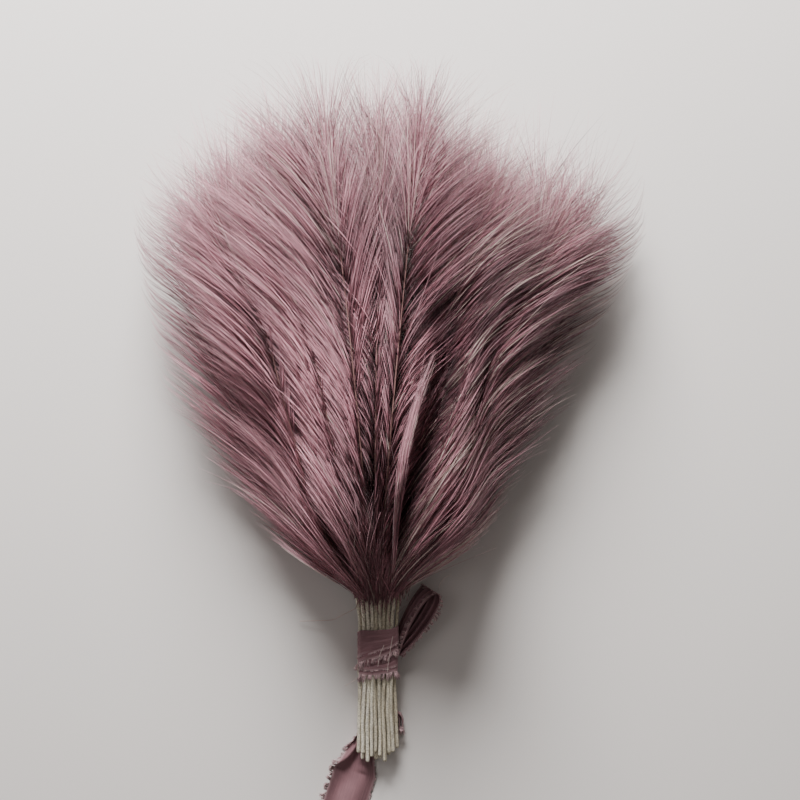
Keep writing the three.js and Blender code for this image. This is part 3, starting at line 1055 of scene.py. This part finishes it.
def make_loop(settings, silk, threads):
    """The bow's one loop: it goes out on its edge, turns over, and comes back flat."""
    low, high = (np.array(c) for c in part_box("ribbon_loop"))
    start = np.array([low[0] - 4 * MM, low[1] - 3 * MM, 9 * MM])
    end = np.array([high[0] - 6 * MM, high[1] - 3 * MM, 9 * MM])
    way = end - start
    size = np.linalg.norm(way)
    way = way / size
    flat = unit(np.cross(way, [0, 0, 1.0]))
    t = np.linspace(0, 2 * math.pi, 170)
    out = size * (1 - np.cos(t)) / 2
    apart = -5.5 * MM * np.sin(t) * np.sin(t / 2) ** 0.8
    tall = 3.0 * MM * np.sin(t / 2) ** 2
    line = start + out[:, None] * way + apart[:, None] * flat
    line = line + np.array([0, 0, 1.0]) * tall[:, None]
    turn = np.radians(np.interp(t, [0, 2.4, 3.7, 6.28], [72, 60, 28, 14]))[:, None]
    side = np.cos(turn) * flat + np.sin(turn) * np.array([0, 0, 1.0])
    above = np.cross(side, way)
    w = np.linspace(-0.5, 0.5, 44)[None]
    wide = (9 + 5 * (out / size) ** 0.8)[:, None] * MM
    fold = pleats(settings.width * 0.95, wide, 3)
    wave = np.cos(w * 2 * math.pi * 3 + 0.8 + t[:, None] * 0.7)
    grid = (
        line[:, None, :]
        + (w * wide)[..., None] * side[:, None, :]
        + (fold * wave)[..., None] * above[:, None, :] * 0.9
    )
    grid[..., 2] = np.maximum(grid[..., 2], 0.5 * MM)
    rng = np.random.default_rng(77)
    frays = edge_frays(rng, grid, 1500, 2.6 * MM, settings, 40, other_side=0.5)
    tip = end / MM
    frays.append(
        loose_thread(
            [tip + (4, 0, 0), tip + (5, 4, 1), tip + (8, 8, 1), tip + (12, 10, -2)], settings
        )
    )
    ribbon_piece(
        "ribbon_bow", "ribbon_loop", [cloth(grid, 0.2 * MM)], frays, silk, threads,
    )


def make_knot(settings, silk, threads):
    low, high = (np.array(c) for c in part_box("ribbon_knot"))
    centre, half = (low + high) / 2, (high - low) / 2
    rows, cols = 120, 90
    a = np.linspace(0, 2 * math.pi * 0.98, rows)[:, None] * np.ones(cols)
    v = np.ones(rows)[:, None] * np.linspace(-1, 1, cols)
    bulge = np.sqrt(np.clip(1 - (0.75 * v) ** 2, 0, 1))
    fold = pleats(settings.width, half[0] * 1.8, 4) / (0.41 * (half[1] + half[2]))
    crease = 1 - fold * 0.6 + fold * np.cos(v * 4 * math.pi + 0.7 * np.sin(a))
    grid = np.stack(
        [
            centre[0] + half[0] * 0.9 * v,
            centre[1] + half[1] * 0.82 * bulge * crease * np.cos(a),
            centre[2] + half[2] * 0.82 * bulge * crease * np.sin(a),
        ],
        -1,
    )
    rng = np.random.default_rng(91)
    ribbon_piece(
        "ribbon_tie", "ribbon_knot", [cloth(grid, 0.25 * MM)],
        edge_frays(rng, grid, 120, 1.2 * MM, settings), silk, threads,
    )


# --- Operators ----------------------------------------------------------------------------


FLOOR_REACH = 3.0
FLOOR_GAP = 0.0002
LENS = 120
SENSOR = 36
HAIRS_PAST_BOX = 8 * MM
VIEW_ASIDE = 6.6 * MM  # the camera's place, right of the middle
VIEW_BELOW_TIPS = 211.4 * MM  # and down from the tips of the hairs
VIEW_PLANE = 0.035  # how high above the floor the view is as wide as its setting says


class PAMPAS_OT_stems(bpy.types.Operator):
    """Build the bare stems, above and below the tie"""

    bl_idname = "pampas.stems"
    bl_label = "Bare stems"

    def execute(self, context):
        make_stems(context.scene.pampas_stems)
        return {"FINISHED"}


class PAMPAS_OT_plumes(bpy.types.Operator):
    """Build the plumes, fibre by fibre"""

    bl_idname = "pampas.plumes"
    bl_label = "Plumes"

    def execute(self, context):
        make_plumes(context.scene.pampas_plumes)
        return {"FINISHED"}


class PAMPAS_OT_ribbon(bpy.types.Operator):
    """Build the ribbon's turns, knot, loop and tails"""

    bl_idname = "pampas.ribbon"
    bl_label = "Ribbon"

    def execute(self, context):
        settings = context.scene.pampas_ribbon
        silk = silk_material(settings)
        colour = tuple(settings.thread_colour)
        threads = fibre_material("Frayed thread", colour, colour, colour, 0.7, 0.1)
        make_wraps(settings, silk, threads)
        make_loop(settings, silk, threads)
        make_knot(settings, silk, threads)
        make_tail(
            settings, silk, threads, "ribbon_tail_long", "ribbon_tail",
            ([0, 0.1, 0.27, 0.33, 0.39, 0.47, 1], [n * MM for n in (7, 5, 5, 8, 16, 28, 29.2)]),
            3, 41, 0.0, 0.4 * MM, 0.188,
        )
        make_tail(
            settings, silk, threads, "ribbon_tail_short", "ribbon_end",
            ([0, 0.5, 1], [4.5 * MM, 4.5 * MM, 6 * MM]),
            3, 43, -3.0 * MM, 1.6 * MM, 0.050,
        )
        return {"FINISHED"}


class PAMPAS_OT_stage(bpy.types.Operator):
    """Add the floor, the lights and the camera"""

    bl_idname = "pampas.stage"
    bl_label = "Stage"

    def execute(self, context):
        settings = context.scene.pampas_stage
        me = bpy.data.meshes.new("floor")
        r = FLOOR_REACH
        me.from_pydata([(-r, -r, 0), (r, -r, 0), (r, r, 0), (-r, r, 0)], [], [(0, 1, 2, 3)])
        floor = bpy.data.objects.new("floor", me)
        floor.location.z = -FLOOR_GAP
        me.materials.append(floor_material(settings))
        context.scene.collection.objects.link(floor)

        low, high = CAD_BOX
        centre = (Vector(low) + Vector(high)) / 2

        def area(name, direction, distance, size, energy, colour):
            light = bpy.data.lights.new(name, "AREA")
            light.shape = "DISK"
            light.size = size
            light.energy = energy
            light.color = colour
            ob = bpy.data.objects.new(name, light)
            way = Vector(direction).normalized()
            ob.location = centre + way * distance
            ob.rotation_euler = way.to_track_quat("Z", "Y").to_euler()
            context.scene.collection.objects.link(ob)

        area("window", (-0.14, 0.92, 0.44), 1.36, 0.75, 64, (1.0, 0.98, 0.95))
        area("fill", (-0.8, 0.15, 0.9), 2.2, 1.4, 3.5, (1.0, 0.96, 0.95))

        world = bpy.data.worlds.new("soft room")
        world.use_nodes = True
        world.node_tree.nodes["Background"].inputs[0].default_value = (1.0, 0.93, 0.87, 1)
        world.node_tree.nodes["Background"].inputs[1].default_value = 0.16
        context.scene.world = world

        camera = bpy.data.objects.new("camera", bpy.data.cameras.new("camera"))
        context.scene.collection.objects.link(camera)
        camera.data.lens = LENS
        camera.data.sensor_width = SENSOR
        distance = settings.view_width * camera.data.lens / camera.data.sensor_width
        tip = high[1] + HAIRS_PAST_BOX
        camera.location = (centre.x + VIEW_ASIDE, tip - VIEW_BELOW_TIPS, distance + VIEW_PLANE)
        camera.rotation_euler = (0, 0, 0)
        context.scene.camera = camera
        return {"FINISHED"}


class PAMPAS_PT_panel(bpy.types.Panel):
    """The bunch's settings and the buttons that build it"""

    bl_idname = "PAMPAS_PT_panel"
    bl_label = "Pampas grass bunch"
    bl_space_type = "VIEW_3D"
    bl_region_type = "UI"
    bl_category = "Pampas"

    def draw(self, context):
        scene = context.scene
        for settings, operator in BUILD_ORDER:
            box = self.layout.box()
            group = getattr(scene, settings)
            for name in group.__annotations__:
                box.prop(group, name)
            box.operator(operator)


BUILD_ORDER = (
    ("pampas_stems", "pampas.stems"),
    ("pampas_plumes", "pampas.plumes"),
    ("pampas_ribbon", "pampas.ribbon"),
    ("pampas_stage", "pampas.stage"),
)
GROUPS = {
    "pampas_stems": PAMPAS_PG_stems,
    "pampas_plumes": PAMPAS_PG_plumes,
    "pampas_ribbon": PAMPAS_PG_ribbon,
    "pampas_stage": PAMPAS_PG_stage,
}
CLASSES = (
    *GROUPS.values(),
    PAMPAS_OT_stems,
    PAMPAS_OT_plumes,
    PAMPAS_OT_ribbon,
    PAMPAS_OT_stage,
    PAMPAS_PT_panel,
)


def register():
    for cls in CLASSES:
        bpy.utils.register_class(cls)
    for name, group in GROUPS.items():
        setattr(bpy.types.Scene, name, bpy.props.PointerProperty(type=group))


def unregister():
    for name in GROUPS:
        delattr(bpy.types.Scene, name)
    for cls in reversed(CLASSES):
        bpy.utils.unregister_class(cls)


def main():
    register()
    bpy.ops.pampas.stems()
    bpy.ops.pampas.plumes()
    bpy.ops.pampas.ribbon()
    bpy.ops.pampas.stage()


if __name__ == "__main__":
    main()
